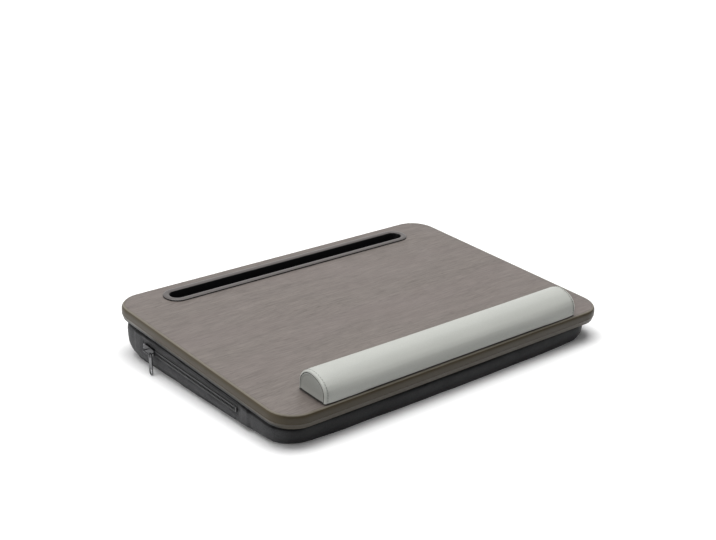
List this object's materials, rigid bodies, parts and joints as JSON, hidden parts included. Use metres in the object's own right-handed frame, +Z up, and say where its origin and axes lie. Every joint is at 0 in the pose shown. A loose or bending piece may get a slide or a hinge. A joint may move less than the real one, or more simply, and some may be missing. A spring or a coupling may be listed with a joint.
{
  "type": "lap desk",
  "caption": "Lap desk: a tilted wood-look board with a slot tray and a padded wrist rest, held by hook and loop strips on a zipped wedge cushion.",
  "frame": {"origin": "centre of the overall box, on the flat surface the cushion stands on", "axes": "+X to the user's right along the board's long side, +Y away from the user towards the slot, +Z up; the board's top slopes down towards the user"},
  "size_m": [0.5558, 0.3924, 0.08],
  "materials": {
    "fibreboard": "matte",
    "walnut_laminate": "satin",
    "backing": "matte",
    "edge_vinyl": "satin",
    "tray_plastic": "gloss",
    "leatherette": "satin",
    "rest_foam": "matte",
    "rest_base": "matte",
    "fixing_tape": "matte",
    "hook_and_loop": "matte",
    "cover_cloth": "matte",
    "cushion_foam": "matte",
    "zip_tape": "matte",
    "zip_teeth": "satin",
    "zip_stop": "satin",
    "zip_metal": "gloss"
  },
  "bodies": {
    "desk": {"board_core": "fibreboard", "top_laminate": "walnut_laminate", "backing_sheet": "backing", "edge_band": "edge_vinyl", "slot_tray": "tray_plastic", "rest_cover": "leatherette", "rest_end_left": "leatherette", "rest_end_right": "leatherette", "rest_foam": "rest_foam", "rest_base": "rest_base", "rest_tape_front": "fixing_tape", "rest_tape_rear": "fixing_tape", "hook_strip_front": "hook_and_loop", "hook_strip_middle": "hook_and_loop", "hook_strip_rear": "hook_and_loop", "loop_strip_front": "hook_and_loop", "loop_strip_middle": "hook_and_loop", "loop_strip_rear": "hook_and_loop", "cushion_top_panel": "cover_cloth", "cushion_gusset": "cover_cloth", "cushion_bottom_panel": "cover_cloth", "cushion_filling": "cushion_foam", "zip_tape_upper": "zip_tape", "zip_tape_lower": "zip_tape", "zip_teeth_upper": "zip_teeth", "zip_teeth_lower": "zip_teeth", "zip_bottom_stop": "zip_stop", "zip_top_stop_upper": "zip_metal", "zip_top_stop_lower": "zip_metal"},
    "slider": {"zip_slider": "zip_metal"},
    "pull": {"zip_pull": "zip_metal"}
  },
  "joints": [
    {"name": "zip_slide", "type": "slide", "parent": "desk", "child": "slider", "axis": [0, -0.9989, -0.0473], "range_m": [0, 0.1832]},
    {"name": "pull_hinge", "type": "hinge", "parent": "slider", "child": "pull", "pos_m": [-0.2753, 0.09296, 0.0298], "axis": [1, 0, 0], "range_deg": [-90, 60]}
  ]
}
